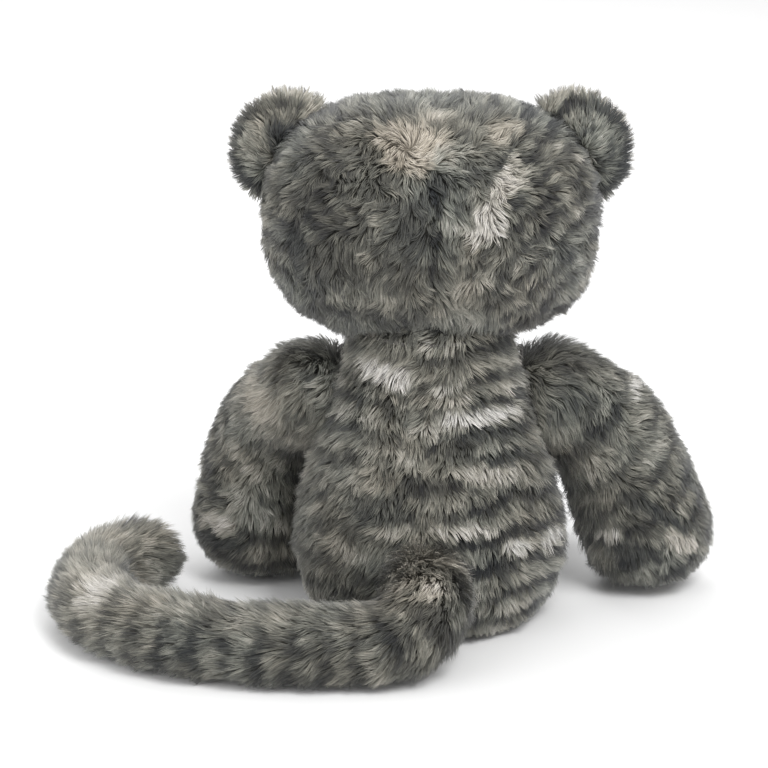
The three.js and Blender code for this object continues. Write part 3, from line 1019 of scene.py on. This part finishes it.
for number, (side, sign) in enumerate(SIDES):
    shoulder, hip = PIVOT[f"{side}_shoulder_swing"], PIVOT[f"{side}_hip_lift"]
    arm, leg = limb_skins[f"{side}_arm"], limb_skins[f"{side}_leg"]
    source = shoulder + np.array([-14 * sign, -4, 12]) * MM
    arm_coat = limb_coat(shoulder, 71 + 10 * number, ARM_PATCHES[side], source)
    leg_coat = limb_coat(hip, 81 + 10 * number, [], hip)
    add_coat(f"{side}_arm_pile", arm, f"{side}_arm", arm_coat, [body_skin], 300 + number)
    add_coat(f"{side}_leg_pile", leg, f"{side}_leg", leg_coat, [body_skin], 400 + number)
    ear = f"{side}_ear"
    ear_fur = ear_coat(side, 31 + 10 * number)
    add_coat(f"{ear}_pile", ear_skins[ear], ear, ear_fur, [head_skin], 500 + number)


def add_tail(name, piece, replaced, seed):
    """A stretch of tail across one joint, with the pile on it."""
    fur = coat_on(f"{name}_pile", piece, TAIL_COAT, [body_skin], seed)
    for item in (piece, fur):
        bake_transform(item)
    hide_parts(*replaced)


add_tail(
    "tail_near",
    tail_skins["tail_near"],
    ["tail_root_cover", "tail_middle_cover"],
    600,
)
add_tail(
    "tail_far",
    tail_skins["tail_far"],
    ["tail_tip_cover"],
    601,
)

# ---------------------------------------------------------------- face


def lathe(name, profile, place, axis, material, around=40):
    """A turned form: profile is a list of (radius, height) from the bottom up."""
    form = bmesh.new()
    turn = Vector((0, 0, 1)).rotation_difference(Vector(axis))
    rings = []
    for radius, height in profile:
        ring = []
        for step in range(around):
            angle = 2 * math.pi * step / around
            local = Vector((radius * math.cos(angle), radius * math.sin(angle), height))
            ring.append(form.verts.new(Vector(place) + turn @ local))
        rings.append(ring)
    for one, other in zip(rings, rings[1:]):
        for k in range(around):
            form.faces.new((one[k], one[(k + 1) % around], other[(k + 1) % around], other[k]))
    form.faces.new(rings[0][::-1])
    form.faces.new(rings[-1])
    mesh = bpy.data.meshes.new(name)
    form.to_mesh(mesh)
    form.free()
    return new_object(name, mesh, material)


def eye_material():
    """Black moulded plastic with a deep gloss and a few fine scuffs."""
    shader = Shader("eye_plastic", 0.12, Specular_IOR_Level=0.35, Coat_Weight=0.25, Coat_Roughness=0.03)
    stops = [(0.35, (0.006, 0.006, 0.007, 1)), (0.7, (0.02, 0.016, 0.013, 1))]
    depth = shader.ramp(shader.noise(60.0), stops)
    return shader.painted(depth).bumped(shader.noise(700.0, 4.0), 0.04, 0.1 * MM).material


EYE_MATERIAL = eye_material()
EYE_SHANK = 1.8 * MM  # its radius
EYE_LIP = 0.35 * MM  # from the brim up to where the dome starts
DOME_STEPS = 10


def add_eye(side):
    """A safety eye on the axis of the CAD eye: a shank, a thin lip and a full dome."""
    eye, washer = centre_of(f"{side}_eye"), centre_of(f"{side}_eye_washer")
    axis = unit(eye - washer)
    corners = points_of(NODES[f"{side}_eye"].data)
    heights = (corners - washer) @ axis
    top = heights.max()
    reach = np.linalg.norm(corners - washer - heights[:, None] * axis, axis=1)
    radius = reach.max()
    brim = heights[reach > 0.9 * radius].min()
    lip = brim + EYE_LIP
    profile = [(EYE_SHANK, heights.min()), (EYE_SHANK, brim), (radius * 0.93, brim), (radius, lip)]
    for step in range(1, DOME_STEPS + 1):
        angle = step / (DOME_STEPS + 0.5) * math.pi / 2
        rise = (top - brim - EYE_LIP) * math.sin(angle)
        profile.append((radius * math.cos(angle) ** 0.85, lip + rise))
    piece = lathe(f"{side}_eye_dome", profile, washer, axis, EYE_MATERIAL)
    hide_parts(f"{side}_eye")
    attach(piece, "head")


for side, _ in SIDES:
    add_eye(side)

# ---------------------------------------------------------------- carried-over CAD nodes


def fibre_material(name, pale, dark):
    """Loose polyester fibre: tangled, matt and nearly white."""
    shader = Shader(name, 1.0, Sheen_Weight=0.3)
    tangle = shader.noise(500.0, 6.0)
    painted = shader.painted(shader.ramp(tangle, [(0.3, dark), (0.65, pale)]))
    return painted.bumped(tangle, 0.8, 0.8 * MM).material


def thread_material(name, pale, dark):
    """Twisted thread: fine slanting plies."""
    shader = Shader(name, 0.7, Sheen_Weight=0.2)
    plies = shader.node(
        "ShaderNodeTexWave",
        {"bands_direction": "DIAGONAL"},
        Vector=shader.place(),
        Scale=900.0,
        Distortion=1.5,
    ).outputs["Fac"]
    painted = shader.painted(shader.ramp(plies, [(0.2, dark), (0.8, pale)]))
    return painted.bumped(plies, 0.5, 0.2 * MM).material


def plastic_material(name, pale, dark, roughness):
    """Moulded plastic with a faint grain."""
    shader = Shader(name, roughness, Specular_IOR_Level=0.5)
    grain = shader.noise(300.0, 4.0)
    painted = shader.painted(shader.ramp(grain, [(0.3, dark), (0.7, pale)]))
    return painted.bumped(grain, 0.2, 0.2 * MM).material


LOOKS = {
    "filling": fibre_material("fibre_filling", colour(244, 242, 236), colour(212, 209, 202)),
    "pouch": fibre_material("pouch_cloth", colour(232, 228, 218), colour(206, 202, 190)),
    "pellets": plastic_material("pellets", colour(228, 231, 234), colour(190, 196, 200), 0.4),
    "thread": thread_material("seam_thread", colour(104, 101, 96), colour(58, 56, 54)),
    "face_thread": thread_material("mouth_thread", colour(62, 54, 54), colour(26, 22, 22)),
    "nose": thread_material("nose_thread", colour(176, 128, 124), colour(134, 92, 90)),
    "washer": plastic_material("washer_plastic", colour(236, 236, 234), colour(214, 214, 212), 0.45),
}
slots = {part["node"]: part["material_slot"] for part in frame["record"]["subparts"]}
for node, obj in NODES.items():
    look = LOOKS.get(slots.get(node))
    if look:
        obj.data.materials.clear()
        obj.data.materials.append(look)

# ---------------------------------------------------------------- floor, light and camera


def add_floor():
    """A plain pale floor, big enough to have no edge in view."""
    size = 3.0
    mesh = bpy.data.meshes.new("floor")
    corners = [(-size, -size, 0), (size, -size, 0), (size, size, 0), (-size, size, 0)]
    mesh.from_pydata(corners, [], [(0, 1, 2, 3)])
    shader = Shader("floor_white", 0.6, Specular_IOR_Level=0.2)
    stops = [(0.3, (0.86, 0.86, 0.86, 1)), (0.7, (0.88, 0.88, 0.88, 1))]
    shader.painted(shader.ramp(shader.noise(3.0), stops))
    floor = new_object("floor", mesh, shader.material)


def add_light(name, place, target, size, power):
    """A round area light, its size in metres and its power in watts."""
    data = bpy.data.lights.new(name, "AREA")
    data.shape = "DISK"
    data.size = size
    data.energy = power
    lamp = bpy.data.objects.new(name, data)
    lamp.location = place
    lamp.rotation_euler = (Vector(target) - Vector(place)).to_track_quat("-Z", "Y").to_euler()
    bpy.context.scene.collection.objects.link(lamp)


def add_camera():
    """Behind the toy and a little above it, with a long lens."""
    elevation, distance = math.radians(19), 1.25
    target = Vector((19.3 * MM, 0, 101 * MM))  # the middle of the toy with its tail
    away = Vector((0, math.cos(elevation), math.sin(elevation))) * distance
    data = bpy.data.cameras.new("camera")
    data.sensor_width = 36
    data.lens = 139.5
    camera = bpy.data.objects.new("camera", data)
    camera.location = target + away
    camera.rotation_euler = (-away).to_track_quat("-Z", "Y").to_euler()
    bpy.context.scene.collection.objects.link(camera)
    bpy.context.scene.camera = camera


add_floor()
add_light("key", (-0.55, 0.75, 1.25), (0, 0, 0.1), 0.8, 16)
add_light("fill", (0.9, 0.7, 0.8), (0, 0, 0.1), 1.0, 5)
add_light("front", (0.3, -1.0, 1.0), (0, 0, 0.1), 1.0, 7)
world = bpy.data.worlds.new("studio")
world.use_nodes = True
world.node_tree.nodes["Background"].inputs["Color"].default_value = (1, 1, 1, 1)
world.node_tree.nodes["Background"].inputs["Strength"].default_value = 0.75
bpy.context.scene.world = world
bpy.context.scene.view_settings.view_transform = "Standard"
add_camera()
